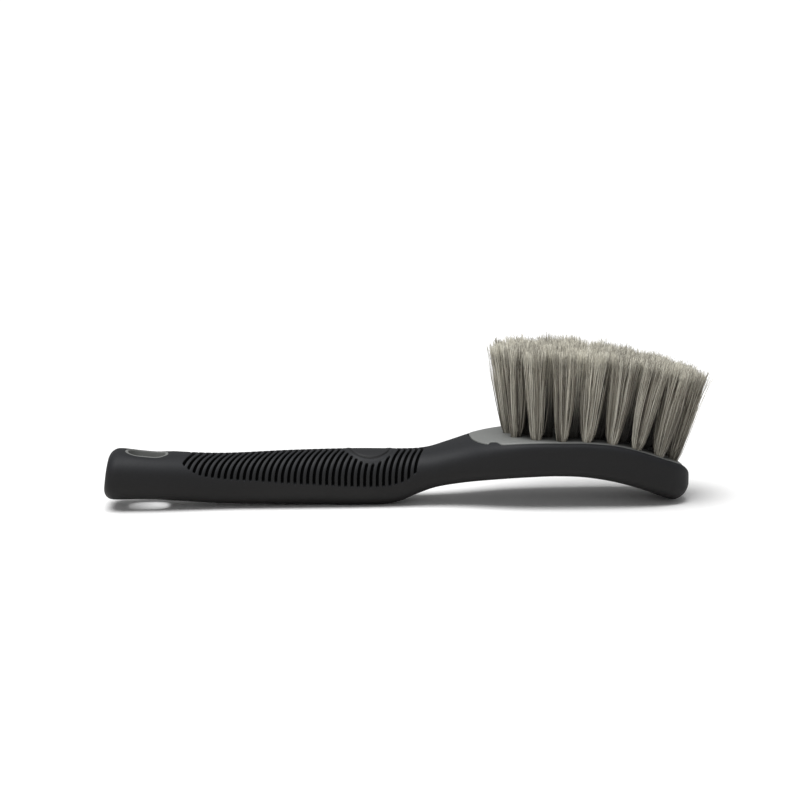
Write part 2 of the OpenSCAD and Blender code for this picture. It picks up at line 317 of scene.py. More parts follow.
def pad_distance(s, y):
    """Distance in mm outside the edge of the plain oval pad."""
    q = np.hypot((s - PAD_S) / (PAD_LEN / 2), y / (PAD_W / 2))
    return (q - 1) * (PAD_LEN + PAD_W) / 4


def pad_relief(pad):
    """The pad's edge stands up a little, with a fine line pressed in just inside it."""
    line = 1 - ease(np.abs(pad - LINE_AT) / LINE_W)
    rim = 1 - ease(np.abs(pad - RIM_AT) / RIM_W)
    return LINE_DEPTH * line - RIM_UP * rim


def groove(across, s, t, y):
    """Depth share, 0 to 1, at a distance across from a groove's centre line."""
    from_end = (t - curve(RIB_LOW, s)) * ARC_PER_DEGREE
    from_pad = np.where(t > 0, pad_distance(s, y) - PAD_RIM, 99)
    along = np.minimum(from_end, from_pad)
    d = np.hypot(across, np.maximum(GROOVE_EDGE - along, 0))
    return 1 - ease((d - GROOVE_FLOOR) / (GROOVE_EDGE - GROOVE_FLOOR))


print("grooves", RIB_COUNT, "over", RIB_COUNT * RIB_PITCH, "mm")

# %% [markdown]
# ## The hang hole
# An oblong hole goes through the butt. The soft skin isn't strong enough to be its edge, so the hard core
# comes up through the skin as a ring that lines the hole. The skin is dished a little round it.

# %% Hang hole outline
HOLE_S, HOLE_LEN, HOLE_W, HOLE_R, HOLE_LIP = 20.1, 17.4, 14, 5.5, 1.5
DISH_DEPTH, DISH_REACH, DISH_OVER, DISH_BELOW = 0.5, 3.6, 0.6, 0.5
CUT_LOW, CUT_HIGH = -5, 40


def hole_distance(x, y, grow=0.0):
    """Distance outside the hole's outline, grown by grow."""
    r = HOLE_R + grow
    qx = np.abs(x + ORIGIN_S - HOLE_S) - (HOLE_LEN / 2 + grow - r)
    qy = np.abs(y) - (HOLE_W / 2 + grow - r)
    return np.hypot(np.maximum(qx, 0), np.maximum(qy, 0)) + np.minimum(np.maximum(qx, qy), 0) - r


def hole_outline(grow, steps=16):
    """Points round the hole's outline, grown by grow."""
    r = HOLE_R + grow
    out = []
    for quarter in range(4):
        sx, sy = [(1, 1), (-1, 1), (-1, -1), (1, -1)][quarter]
        for a in np.linspace(90 * quarter, 90 * quarter + 90, steps):
            out.append([HOLE_S - ORIGIN_S + sx * (HOLE_LEN / 2 + grow - r) + r * math.cos(math.radians(a)),
                        sy * (HOLE_W / 2 + grow - r) + r * math.sin(math.radians(a))])
    return np.array(out)


def dish(x, y):
    """How far the surface sinks round the hole."""
    return DISH_DEPTH * (1 - ease((hole_distance(x, y, HOLE_LIP) + DISH_OVER) / DISH_REACH))


def prism(name, outline, low, high):
    """A closed upright prism."""
    n = len(outline)
    points = [[x, y, z] for z in (low, high) for x, y in outline]
    faces = [[k, (k + 1) % n, n + (k + 1) % n, n + k] for k in range(n)]
    return make(name, points, faces + [list(range(n))[::-1], list(range(n, 2 * n))])


print("hole", HOLE_LEN, "x", HOLE_W, "mm")

# %% [markdown]
# ## The skin
# The skin is a shell with an opening where the bristle face shows. Its outer and inner surfaces are two
# lofts, and a rounded lip joins them round the opening. Grooves need rings every few tenths of a
# millimetre, while the smooth neck and head need far fewer.

# %% Rings of the skin
LOW_ANGLES = np.concatenate([np.linspace(-90, -16, 11), np.linspace(-14, -2, 7)])
UP_STEPS = 50
FACE_STEPS = 72
GAP = 0.15
NOTCH_S, NOTCH_LEN, NOTCH_RAMP, NOTCH_IN = 184.3, 1.6, 2.3, 2.4
NOTCH_RINGS, NOTCH_REACH = 12, 3.1
ACROSS = [-1.5, -1.05, -0.78, -0.6, -0.42, -0.15, 0.15, 0.42, 0.6, 0.78, 1.05]


def notch(s):
    """The small step in the edge of the bristle face, near its handle end."""
    return NOTCH_IN * (1 - ease((np.abs(s - NOTCH_S) - NOTCH_LEN / 2) / NOTCH_RAMP))


def face_edge(s, extra=0.0):
    return np.maximum(oval(s, FACE_A + extra, FACE_B + extra, FACE_POWER) - notch(s), 0)


def face_stations(extra=0.0, steps=FACE_STEPS):
    at = FACE_C - (FACE_A + extra) * np.cos(np.linspace(0, np.pi, steps + 1))
    return np.sort(np.concatenate([at, NOTCH_S + np.linspace(-NOTCH_REACH, NOTCH_REACH, NOTCH_RINGS)]))


def ring_angles(top):
    return np.concatenate([LOW_ANGLES, np.asarray(top) * np.linspace(0, 1, UP_STEPS + 1)])


def half_rings(stations, across, d, top):
    """One side's points of each ring, from the bottom up, with the groove share and the pad distance."""
    t = np.array([ring_angles(a) for a in top])
    s = swept(np.broadcast_to(np.asarray(stations, float)[:, None], t.shape), t)
    _, y, _ = section(s, t, d)
    share, pad = np.zeros_like(s), pad_distance(s, np.where(t > 0, y, 99))
    if across is not None:
        across = np.asarray(across)[:, None]
        share = np.where(across > 90, 0, groove(across, s, t, y))
    relief = pad_relief(pad) if d == 0 else 0
    x, y, z = section(s, t, d, share * GROOVE_DEPTH + relief)
    if d == 0:
        z = z - np.where(t > 0, dish(x, y), 0) + np.where(t < 0, dish(x, y) * DISH_BELOW, 0)
    return np.stack([x, y, z], -1), share, pad


rib_stations = [(RIB_S0 + i * RIB_PITCH + a, a) for i in range(RIB_COUNT) for a in ACROSS]
smooth_butt = [0, 0.15, 0.5, 1, 1.7, 2.6, 3.6, 4.8, 6.2, *range(8, 33, 2), 33.5]
smooth_neck = [149, 151, 153, 155, 157.5, 160, 162.5, 165, 167.5, 170, 172, 173.5]
hand = [(s, 99) for s in smooth_butt] + rib_stations + [(s, 99) for s in smooth_neck]
hand_s, hand_a = np.array(hand).T
skin_end = [279.0, 279.4, 279.9, 280.4, 280.8, BODY_LEN]
print("rings along the skin", len(hand_s) + FACE_STEPS + len(skin_end))

# %% Outer and inner surface as rings of points
LIP_R = 0.28


def surface(stations, across, end, d, extra):
    """All half rings of one surface, with which of them are open at the top."""
    face = face_stations(extra)
    top = angle_at(face, face_edge(face, extra), d)
    parts = [half_rings(stations, across, d, np.full(len(stations), 90.0)),
             half_rings(face, None, d, top),
             half_rings(end, None, d, np.full(len(end), 90.0))]
    points, cuts, pads = (np.concatenate([p[j] for p in parts]) for j in range(3))
    return points, cuts, pads, len(stations), len(stations) + len(face) - 1


def full_rings(half):
    """Whole rings: up the +Y side, then down the -Y side."""
    return np.concatenate([half, half[:, ::-1] * [1, -1, 1]], 1)


def end_rings(ring, shares, crown):
    """Rings that close an end, each a smaller copy, with a slight dome towards +X or -X."""
    centre = (ring.min(0) + ring.max(0)) / 2
    return np.array([centre + f * (ring - centre) + [crown * (1 - f * f), 0, 0] for f in shares])


outer, outer_cut, outer_pad, first, last = surface(hand_s, hand_a, skin_end, 0.0, GAP + LIP_R)
bar_stations = np.concatenate([SKIN_T + np.array([0, 0.4, 1.2, 2.6]), np.arange(8, 173, 5.5)])
bar_end = [BODY_LEN - SKIN_T - 0.15, BODY_LEN - SKIN_T - 0.05]
inner, _, _, in_first, in_last = surface(bar_stations, None, bar_end, SKIN_T, GAP)
print("outer", outer.shape, "inner", inner.shape)

# %% Stitch the skin
COLUMNS = 2 * outer.shape[1]
HALF = outer.shape[1]
END_SHARES = [0, 0.3, 0.6, 0.82, 0.94]


def stitched(half, crown_low, crown_high, gap_rows=None, shares=END_SHARES):
    """Points and faces of one surface with closed ends. gap_rows are the rows left open at the top."""
    rings = full_rings(half)
    rows = np.concatenate([end_rings(rings[0], shares, -crown_low), rings,
                           end_rings(rings[-1], shares[::-1], crown_high)])
    faces = []
    for face in grid_faces(len(rows), COLUMNS):
        row, column = divmod(face[0], COLUMNS)
        row -= len(shares)
        if gap_rows and column == HALF - 1 and gap_rows[0] <= row < gap_rows[1]:
            continue
        faces.append(face)
    return rows.reshape(-1, 3), faces


def lip_rows(edge):
    """Points that round the opening's edge over, inwards and down, at each row of one side."""
    plan = edge[:, :2]
    along = np.gradient(plan, axis=0)
    along[0], along[-1] = [0, 1], [0, -1]
    inward = np.stack([along[:, 1], -along[:, 0]], 1)
    inward /= np.linalg.norm(inward, axis=1)[:, None]
    rows = []
    for a in np.radians([30, 60, 90]):
        step = np.concatenate([inward * math.sin(a), np.full((len(edge), 1), math.cos(a) - 1)], 1)
        rows.append(edge + LIP_R * step)
    return rows


out_points, out_faces = stitched(outer, 0.35, 0.1, (first, last))
in_points, in_faces = stitched(inner, 0, 0, (in_first, in_last), [0])
points, faces = [out_points, in_points], list(out_faces)
faces += [[len(out_points) + v for v in f] for f in in_faces]
base = len(out_points) + len(in_points)
for side in (0, 1):
    column = HALF - 1 + side
    edge_ids = [(r + len(END_SHARES)) * COLUMNS + column for r in range(first, last + 1)]
    inner_ids = [len(out_points) + (r + 1) * COLUMNS + column for r in range(in_first, in_last + 1)]
    edge = out_points[edge_ids] * [1, 1 - 2 * side, 1]
    strips = [edge_ids]
    for row in lip_rows(edge):
        points.append(row * [1, 1 - 2 * side, 1])
        strips.append(list(range(base, base + len(row))))
        base += len(row)
    strips.append(inner_ids)
    for a, b in zip(strips, strips[1:]):
        faces += [[a[i], a[i + 1], b[i + 1], b[i]] for i in range(len(a) - 1)]
points = np.concatenate(points)
print("skin points", len(points), "faces", len(faces))

# %% [markdown]
# The shader needs to know where the grooves and the pad are, so each point carries two numbers: how deep
# in a groove it is, and how far from the pad's edge. The boolean that cuts the hole keeps both numbers.

# %% Make the skin
def clean(obj):
    """Merges points that lie together and turns every face outwards."""
    bm = bmesh.new()
    bm.from_mesh(obj.data)
    bmesh.ops.remove_doubles(bm, verts=bm.verts, dist=0.004 * MM)
    bmesh.ops.recalc_face_normals(bm, faces=bm.faces)
    bm.to_mesh(obj.data)
    bm.free()
    return obj


def padded_out(values, fill, total):
    """Per-point values of the outer loft, with fill for every other point."""
    rings = np.concatenate([values, values[:, ::-1]], 1)
    rings = np.concatenate([np.repeat(rings[:1], len(END_SHARES), 0), rings,
                            np.repeat(rings[-1:], len(END_SHARES), 0)]).ravel()
    return np.concatenate([rings, np.full(total - len(rings), fill)])


skin = make("grip_skin", points, faces, {"groove": padded_out(outer_cut, 0, len(points)),
                                         "pad": padded_out(outer_pad, 99, len(points))})
clean(skin)
print("skin open edges", open_edges(skin), "points", len(skin.data.vertices))
boolean(skin, prism("hole_cutter", hole_outline(HOLE_LIP + 0.05), CUT_LOW, CUT_HIGH), "DIFFERENCE")
shade(skin, 50)
print("after the hole", open_edges(skin), "open edges;", [a.name for a in skin.data.attributes])
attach(skin, "root")
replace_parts(skin, "grip")

# %% [markdown]
# ## The core
# The core is one hard moulding in three parts: a bar that fills the skin, the face that stands just proud
# of the skin and takes the bristles, and the ring in the butt. They are made as closed shapes and united,
# and the holes for the bristles are drilled last, as they are on the real one.

# %% Bar and face
PROUD, FACE_ROUND = 0.2, 0.35
FACE_COLUMNS = 48


def bar():
    """The stiff bar inside the skin, closed all the way along."""
    stations = np.concatenate([bar_stations, np.arange(174, 278, 2.6), bar_end])
    closed = half_rings(stations, None, SKIN_T, np.full(len(stations), 90.0))[0]
    return clean(make("core_moulding", *stitched(closed, 0, 0, None, [0])))


def face_z(x, y):
    return surface_z(x, y) + PROUD


def face_block():
    """The bristle face, as one closed slab with a rounded edge."""
    s = face_stations(-0.05)[1:-1]
    half = face_edge(s, -0.05)
    share = np.sin(np.linspace(-np.pi / 2, np.pi / 2, FACE_COLUMNS + 1))
    y = half[:, None] * share
    x = np.broadcast_to((s - ORIGIN_S)[:, None], y.shape)
    outline = np.concatenate([np.stack([x[:, 0], y[:, 0]], 1), np.stack([x[:, -1], y[:, -1]], 1),
                              np.stack([np.full(9, x[0, 0]), np.linspace(y[0, 0], y[0, -1], 9)], 1),
                              np.stack([np.full(9, x[-1, 0]), np.linspace(y[-1, 0], y[-1, -1], 9)], 1)])
    away = np.hypot(x[..., None] - outline[:, 0], y[..., None] - outline[:, 1]).min(-1)
    z = face_z(x, y) - inset(away, FACE_ROUND)
    under = np.broadcast_to((middle(s) + 1)[:, None], (len(s), 1))
    ring = np.concatenate([np.stack([x[:, :1], y[:, :1], under], -1), np.stack([x, y, z], -1),
                           np.stack([x[:, -1:], y[:, -1:], under], -1)], 1)
    n = ring.shape[1]
    faces = grid_faces(len(s), n) + [list(range(n)), list(range((len(s) - 1) * n, len(s) * n))]
    return clean(make("face_block", ring.reshape(-1, 3), faces))


core = bar()
print("bar", open_edges(core), "open edges")
slab = face_block()
print("face", open_edges(slab), "open edges")
boolean(core, slab, "UNION")
print("united", open_edges(core), "open edges")

# %% Ring round the hang hole
SINK = 0.12
RING_PROFILE = [(1.5, 0.25), (1.36, 0.06), (1.1, 0), (0.55, 0.02), (0.22, 0.14), (0.06, 0.4), (0, 0.9)]


def liner():
    """A closed tube: down the outside, round both rims and up the inside of the hole."""
    rows = []
    for top in (True, False):
        for offset, drop in RING_PROFILE if top else RING_PROFILE[::-1]:
            plan = hole_outline(offset)
            z = surface_z(plan[:, 0], plan[:, 1], top)
            sunk = dish(plan[:, 0], plan[:, 1])
            z = z - sunk - SINK - drop if top else z + DISH_BELOW * sunk + SINK + drop
            rows.append(np.column_stack([plan, z]))
    ring = np.array(rows).transpose(1, 0, 2)
    n = ring.shape[1]
    faces = grid_faces(len(ring), n)
    last_row = (len(ring) - 1) * n
    faces += [[last_row + k, k, (k + 1) % n, last_row + (k + 1) % n] for k in range(n)]
    return clean(make("liner", ring.reshape(-1, 3), faces))


boolean(core, prism("hole_cutter", hole_outline(0.6), CUT_LOW, CUT_HIGH), "DIFFERENCE")
ring_piece = liner()
print("liner", open_edges(ring_piece), "open edges")
boolean(core, ring_piece, "UNION")
print("core", open_edges(core), "open edges", len(core.data.polygons), "faces")

# %% [markdown]
# ## Where the tufts stand
# A drilling machine follows loops just inside the face's outline, with the holes spaced evenly along each
# loop. The tufts lean outwards towards the ends and sides, so that the brush spreads at its tips, and the
# finished head is trimmed to one smooth arc.

# %% Tuft places
TUFT_C, TUFT_A, TUFT_B = FACE_C + 7.3, 40, 23.4
LOOP_PITCH, TUFT_PITCH, LOOPS, LOOP_SAMPLES = 7.6, 12.2, 3, 120
TUFT_D, TUFT_DEPTH = 5, 11
FAN, SIDE_LEAN, UPRIGHT_S = 0.27, 5, FACE_C - 13
TRIM_TOP, TRIM_R, TRIM_S = 75.7, 260, FACE_C - 24


def loop(j):
    """The places of the tufts on one loop, counted from the outermost."""
    t = np.linspace(0, 2 * np.pi, LOOP_SAMPLES + 1)
    a, b = TUFT_A - j * LOOP_PITCH, TUFT_B - j * LOOP_PITCH
    c, s = np.cos(t), np.sin(t)
    path = np.stack([TUFT_C + a * np.sign(c) * np.abs(c) ** (2 / FACE_POWER),
                     b * np.sign(s) * np.abs(s) ** (2 / FACE_POWER)], 1)
    along = np.concatenate([[0], np.cumsum(np.linalg.norm(np.diff(path, axis=0), axis=1))])
    n = round(along[-1] / TUFT_PITCH)
    at = along[-1] * (np.arange(n) + (j % 2) / 2) / n
    return np.stack([np.interp(at, along, path[:, 0]), np.interp(at, along, path[:, 1])], 1)


outer_loop = loop(0)
middle_row = [[TUFT_C + i * TUFT_PITCH, 0] for i in (-1, 0, 1)]
places = np.concatenate([loop(j) for j in range(LOOPS)] + [middle_row])


def root(place):
    """Where a tuft leaves the face."""
    x = place[0] - ORIGIN_S
    return np.array([x, place[1], float(face_z(np.array(x), np.array(place[1])))])


def axis(place):
    """The direction a tuft points in."""
    a, b = math.radians(SIDE_LEAN * place[1] / TUFT_B), math.radians(FAN * (place[0] - UPRIGHT_S))
    return np.array([math.cos(a) * math.sin(b), math.sin(a), math.cos(a) * math.cos(b)])


def trim_z(x):
    """Height of the trimmed tips at x."""
    return TRIM_TOP - TRIM_R + np.sqrt(TRIM_R**2 - (x + ORIGIN_S - TRIM_S) ** 2)


def box_error(i):
    """How far a tuft's root lies outside its CAD solid, in mm."""
    low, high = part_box(f"tuft_{i + 1:02d}")
    r = root(places[i]) * MM
    return max(max(low[k] - r[k], r[k] - high[k], 0) for k in range(3)) / MM


print(len(places), "tufts; the furthest root is", round(max(map(box_error, range(len(places)))), 3),
      "mm outside its CAD solid")

# %% Drill the face
DRILL_SIDES = 28
COUNTERSINK = 0.35


def side_axes(direction):
    """Two directions square to a tuft and to each other."""
    u = np.cross(direction, [0, 1, 0])
    u /= np.linalg.norm(u)
    return u, np.cross(direction, u)


def drills():
    """All the drills as one object: straight shanks with a slight countersink at the face."""
    points, faces = [], []
    a = np.linspace(0, 2 * np.pi, DRILL_SIDES, endpoint=False)
    for place in places:
        foot, up = root(place), axis(place)
        u, v = side_axes(up)
        base = len(points)
        for along, r in ((-TUFT_DEPTH, TUFT_D / 2), (-COUNTERSINK, TUFT_D / 2),
                         (3, TUFT_D / 2 + COUNTERSINK + 3)):
            points += list(foot + up * along + r * (np.cos(a)[:, None] * u + np.sin(a)[:, None] * v))
        faces += grid_faces(3, DRILL_SIDES, base)
        faces += [[base + end + k for k in range(DRILL_SIDES)] for end in (0, 2 * DRILL_SIDES)]
    return clean(make("drills", points, faces))


boolean(core, drills(), "DIFFERENCE")
shade(core, 35)


SHADE_FROM, SHADE_OVER, SHADE_DEEP = 0.88, 0.2, 14


def among_tufts(obj):
    """Marks the part of the face that lies among the tufts, where hardly any light gets in."""
    p = np.zeros(len(obj.data.vertices) * 3)
    obj.data.vertices.foreach_get("co", p)
    x, y, z = p.reshape(-1, 3).T / MM
    reach = (np.abs(x + ORIGIN_S - TUFT_C) / TUFT_A) ** FACE_POWER + (np.abs(y) / FACE_B) ** FACE_POWER
    shaded = 1 - ease((reach ** (1 / FACE_POWER) - SHADE_FROM) / SHADE_OVER)
    carry(obj.data, "among", shaded * (z > face_z(x, y) - SHADE_DEEP))


among_tufts(core)
print("drilled core", open_edges(core), "open edges", len(core.data.polygons), "faces")
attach(core, "root")
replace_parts(core, "core")

# %% [markdown]
# ## The bristles
# Each tuft is a bunch of filaments folded in half under a staple, so every strand runs up from the bottom
# of the hole, leaves it packed tight, and spreads. The strands gather in small locks whose ends come to
# points, and their ends are split to be soft. One strand is a three-sided tube, which smooth shading
# turns round, and a tuft is one mesh. Each point carries its strand's tone, how far along the strand it is
# and whether the tuft is an inner one, and the shader uses all three. Scatters below are in millimetres.

# %% Strand settings
STRANDS, SPLITS, LOCKS = 330, 170, 16
PACKED_R, TIP_R, TIP_RANGE = 2.4, 5.7, (0.86, 1.14)
STRAND_R, TIP_THIN, THICK_RANGE = 0.165, 0.55, (0.75, 1.2)
LEVELS = np.array([0, 0.09, 0.22, 0.38, 0.56, 0.75, 0.9, 1.0])
GOLDEN = math.pi * (3 - math.sqrt(5))
STAPLE_UP = 2.0
FLARE, FLARE_LEN = 0.2, 0.04
GATHER_RANGE, SPOT_JITTER, LOCK_JITTER = (0.1, 0.4), 0.03, 0.08
SWAY, SCATTER, BOW, LOCK_BOW = 0.9, 0.85, 0.6, 0.35
STRAYS, STRAY_RANGE = 0.02, (1.15, 1.5)
CUT_SHORT, CUT_ROUGH, LOCK_ROUGH = -0.4, 1.1, 0.6
TONE, LOCK_TONE, TUFT_TONE = (0.5, 0.3), 0.14, (0.02, 0.09)
SPLIT_FROM, SPLIT_RANGE, SPLIT_SIDE, SPLIT_THIN = (0, 0.6), (0.8, 1.15), 0.55, (0.8, 0.65, 0.4)


def disk(n, jitter):
    """n places spread evenly over a disk of radius 1."""
    k = np.arange(n)
    r = np.sqrt((k + 0.5) / n) + rng.normal(0, jitter, n)
    a = k * GOLDEN + rng.uniform(0, 2 * np.pi) + rng.normal(0, jitter, n)
    return np.stack([r * np.cos(a), r * np.sin(a)], 1)


def tubes(paths, radii, u, v):
    """Closed three-sided tubes along the paths (strands, levels, 3)."""
    n, levels = radii.shape
    a = np.arange(3) * 2 * np.pi / 3
    turn = rng.uniform(0, 2 * np.pi, (n, 1, 1)) + a
    ring = np.cos(turn)[..., None] * u + np.sin(turn)[..., None] * v
    points = paths[:, :, None, :] + radii[:, :, None, None] * ring
    base = (np.arange(n) * levels * 3)[:, None, None, None]
    level, k = np.meshgrid(np.arange(levels - 1), np.arange(3), indexing="ij")
    k2 = (k + 1) % 3
    quads = np.stack([level * 3 + k, level * 3 + k2, level * 3 + 3 + k2, level * 3 + 3 + k], -1)
    quads = (quads[None] + base).reshape(-1, 4)
    ends = np.array([[2, 1, 0], [levels * 3 - 3, levels * 3 - 2, levels * 3 - 1]])
    ends = (ends[None] + base[..., 0]).reshape(-1, 3)
    return points.reshape(-1, 3), quads, ends


print("strand levels", len(LEVELS))

# %% Grow one tuft
def tuft(i):
    """All the strands of one tuft, as paths with their thickness and tone."""
    place = places[i]
    foot, up = root(place), axis(place)
    u, v = side_axes(up)
    uv = np.stack([u, v])
    spot = disk(STRANDS, SPOT_JITTER)
    locks = disk(LOCKS, LOCK_JITTER)
    mine = np.argmin(np.linalg.norm(spot[:, None] - locks[None], axis=2), axis=1)
    gather = rng.uniform(*GATHER_RANGE, LOCKS)[mine][:, None]
    tip_r, sway = TIP_R * rng.uniform(*TIP_RANGE), rng.normal(0, SWAY, 2)
    tip = tip_r * ((1 - gather) * spot + gather * locks[mine]) + sway + rng.normal(0, SCATTER, (STRANDS, 2))
    start = PACKED_R * spot / max(1, np.abs(spot).max())
    bow = rng.normal(0, BOW, (STRANDS, 2)) + rng.normal(0, LOCK_BOW, (LOCKS, 2))[mine]
    stray = rng.random(STRANDS) < STRAYS
    tip[stray] *= rng.uniform(*STRAY_RANGE, (stray.sum(), 1))
    ahead = foot + tip @ uv
    length = (trim_z(ahead[:, 0]) - ahead[:, 2]) / up[2]
    ahead = ahead + up * length[:, None]
    length += (trim_z(ahead[:, 0]) - ahead[:, 2]) / up[2]
    length += rng.normal(CUT_SHORT, CUT_ROUGH, STRANDS) + rng.normal(0, LOCK_ROUGH, LOCKS)[mine]
    w = FLARE * (1 - np.exp(-LEVELS / FLARE_LEN)) + (1 - FLARE) * LEVELS
    flat = (start[:, None] * (1 - w)[:, None] + tip[:, None] * w[:, None]
            + bow[:, None] * np.sin(np.pi * LEVELS)[:, None])
    path = foot + flat @ uv + up * (length[:, None] * LEVELS)[..., None]
    heel = foot + start @ uv - up * (TUFT_DEPTH - STAPLE_UP)
    path = np.concatenate([heel[:, None], path], 1)
    level = np.concatenate([[0], LEVELS])
    thick = STRAND_R * rng.uniform(*THICK_RANGE, (STRANDS, 1)) * (1 - TIP_THIN * level**2)
    tone = np.clip(rng.normal(*TONE, STRANDS) + rng.normal(0, LOCK_TONE, LOCKS)[mine]
                   + rng.normal(*TUFT_TONE), 0, 1)
    return uv, path, thick, tone, level


def split_ends(path, thick, tone, uv):
    """Fine second ends that leave some strands near their tips."""
    pick = rng.choice(STRANDS, SPLITS, replace=False)
    at = rng.uniform(*SPLIT_FROM, SPLITS)[:, None]
    begin = path[pick, -2] * (1 - at) + path[pick, -1] * at
    onward = (path[pick, -1] - path[pick, -2]) * (rng.uniform(*SPLIT_RANGE, (SPLITS, 1)) - at)
    side = rng.normal(0, SPLIT_SIDE, (SPLITS, 2)) @ uv
    levels = np.array([0, 0.5, 1])
    branch = begin[:, None] + onward[:, None] * levels[:, None] + side[:, None] * (levels**1.4)[:, None]
    fine = thick[pick, -1:] * np.array(SPLIT_THIN)
    return branch, fine, np.clip(tone[pick] + 0.1, 0, 1)


def grow(i):
    """One finished tuft in its place, with the numbers that its shader reads."""
    uv, path, thick, tone, level = tuft(i)
    branch, fine, branch_tone = split_ends(path, thick, tone, uv)
    points, quads, ends = tubes(path, thick, *uv)
    more, more_quads, more_ends = tubes(branch, fine, *uv)
    faces = np.concatenate([quads, more_quads + len(points)]).tolist()
    faces += np.concatenate([ends, more_ends + len(points)]).tolist()
    tones = np.concatenate([np.repeat(tone, 3 * len(level)), np.repeat(branch_tone, 9)])
    inner = np.full(len(tones), float(i >= len(outer_loop)))
    along = np.concatenate([np.tile(np.repeat(level, 3), STRANDS), np.full(9 * SPLITS, 1.0)])
    obj = make(f"bristles_{i + 1:02d}", np.concatenate([points, more]), faces,
               {"tone": tones, "along": along, "inner": inner})
    obj.data.shade_smooth()
    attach(obj, "root")
    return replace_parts(obj, f"tuft_{i + 1:02d}")


tufts = [grow(i) for i in range(len(places))]
print(len(tufts), "tufts of", STRANDS, "strands;", sum(len(t.data.polygons) for t in tufts), "faces")

# %% [markdown]
# ## Finishes
# Four finishes cover the brush: soft-touch rubber, satin plastic, bristle filament and drawn wire. Real
# plastics are never one flat colour. They have a fine moulded grain, slow drifts of tone, and places that
# handling has polished. Two small node groups make those effects, and each material uses them at its own
# scale.

# %% Node helpers
def feed(tree, socket, value):
    """Links a socket to another one, or sets it to a number or colour."""
    if isinstance(value, bpy.types.NodeSocket):
        tree.links.new(value, socket)
    else:
        socket.default_value = value


def node(tree, kind, inputs=None, **settings):
    """A node with its settings and its inputs: a number or colour is set, a socket is linked."""
    made = tree.nodes.new(kind)
    for key, value in settings.items():
        setattr(made, key, value)
    for key, value in (inputs or {}).items():
        feed(tree, made.inputs[key], value)
    return made


def maths(tree, operation, *values, clamp=False):
    made = node(tree, "ShaderNodeMath", operation=operation, use_clamp=clamp)
    for i, value in enumerate(values):
        feed(tree, made.inputs[i], value)
    return made.outputs[0]


def blend_colour(tree, share, a, b, mode="MIX"):
    made = node(tree, "ShaderNodeMix", data_type="RGBA", blend_type=mode)
    for socket, value in ((made.inputs[0], share), (made.inputs[6], a), (made.inputs[7], b)):
        feed(tree, socket, value)
    return made.outputs[2]


def carried(tree, name):
    """A number that the mesh carries on its points."""
    return node(tree, "ShaderNodeAttribute", attribute_name=name).outputs["Fac"]


def grained(tree, shader, height, strength, depth):
    """Turns a height, depth millimetres deep, into the finish's bump."""
    bump = node(tree, "ShaderNodeBump", {"Height": height, "Strength": strength, "Distance": depth * MM})
    tree.links.new(bump.outputs[0], shader.inputs["Normal"])


def span(tree, value, low, high, start, end):
    """Maps low..high to start..end, softly and with clamped ends."""
    made = node(tree, "ShaderNodeMapRange", {0: value, 1: low, 2: high, 3: start, 4: end},
                interpolation_type="SMOOTHSTEP")
    return made.outputs[0]


def new_group(name, inputs, outputs):
    tree = bpy.data.node_groups.new(name, "ShaderNodeTree")
    for key, kind, value in inputs:
        socket = tree.interface.new_socket(key, in_out="INPUT", socket_type=kind)
        socket.default_value = value
    for key, kind in outputs:
        tree.interface.new_socket(key, in_out="OUTPUT", socket_type=kind)
    return tree, tree.nodes.new("NodeGroupInput"), tree.nodes.new("NodeGroupOutput")


def placed(tree, group, inputs):
    """A node group placed in a material, with its own values."""
    return node(tree, "ShaderNodeGroup", inputs, node_tree=group)


def finish_with(obj, material):
    """Gives the whole piece one finish."""
    obj.data.materials.clear()
    obj.data.materials.append(material)
    obj.data.polygons.foreach_set("material_index", np.zeros(len(obj.data.polygons), np.int32))


def new_material(name):
    material = bpy.data.materials.new(name)
    material.use_nodes = True
    tree = material.node_tree
    return material, tree, tree.nodes["Principled BSDF"]


print("node helpers ready")

# %% Grain and drift, as node groups
def grain_group():
    """Fine moulded grain: a height for bump, and a mask of its high spots."""
    tree, given, result = new_group(
        "moulded_grain", [("Size", "NodeSocketFloat", 3000.0), ("Roughness", "NodeSocketFloat", 0.6)],
        [("Height", "NodeSocketFloat"), ("Spots", "NodeSocketFloat")])
    where = node(tree, "ShaderNodeTexCoord").outputs["Object"]
    fine = node(tree, "ShaderNodeTexNoise", {"Vector": where, "Scale": given.outputs["Size"], "Detail": 3.0,
                                             "Roughness": given.outputs["Roughness"]})
    cells = node(tree, "ShaderNodeTexVoronoi", {"Vector": where, "Scale": given.outputs["Size"]},
                 feature="SMOOTH_F1")
    height = maths(tree, "MULTIPLY_ADD", cells.outputs["Distance"], -0.5, fine.outputs[0])
    tree.links.new(height, result.inputs["Height"])
    tree.links.new(span(tree, height, 0.2, 0.5, 0, 1), result.inputs["Spots"])
    return tree


